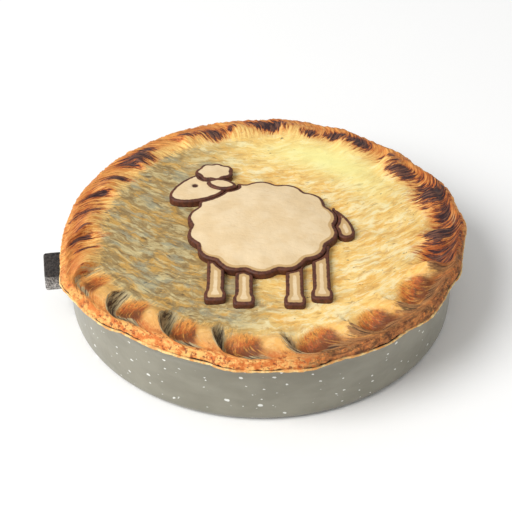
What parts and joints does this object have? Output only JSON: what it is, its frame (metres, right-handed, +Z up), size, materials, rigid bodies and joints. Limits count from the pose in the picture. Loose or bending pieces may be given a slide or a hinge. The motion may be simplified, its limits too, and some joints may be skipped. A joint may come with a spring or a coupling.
{
  "type": "shepherds pie",
  "caption": "Round pie baked in a shallow enamelled dish with a side lug; thick thumb-crimped pastry rim and a sheep cut from pale pastry laid on the lid.",
  "frame": {"origin": "centre of the dish's flat base, on the surface it stands on", "axes": "+Z up; the lug points along -X, a little in front of it; the sheep on the lid stands upright along +Y"},
  "size_m": [0.2654, 0.2525, 0.0603],
  "materials": {
    "enamel": "light grey vitreous enamel with small white flecks, satin gloss",
    "iron": "rough dark iron",
    "baked_pastry": "baked pastry, golden in the middle, browned and burnt at the rim",
    "pale_pastry": "pale rolled pastry with dark toasted edges"
  },
  "bodies": {
    "root": {"dish": "enamel", "lug": "iron", "pie": "baked_pastry", "sheep_fleece": "pale_pastry", "sheep_head": "pale_pastry", "sheep_tuft": "pale_pastry", "sheep_tail": "pale_pastry", "sheep_leg_1": "pale_pastry", "sheep_leg_2": "pale_pastry", "sheep_leg_3": "pale_pastry", "sheep_leg_4": "pale_pastry"}
  },
  "joints": []
}
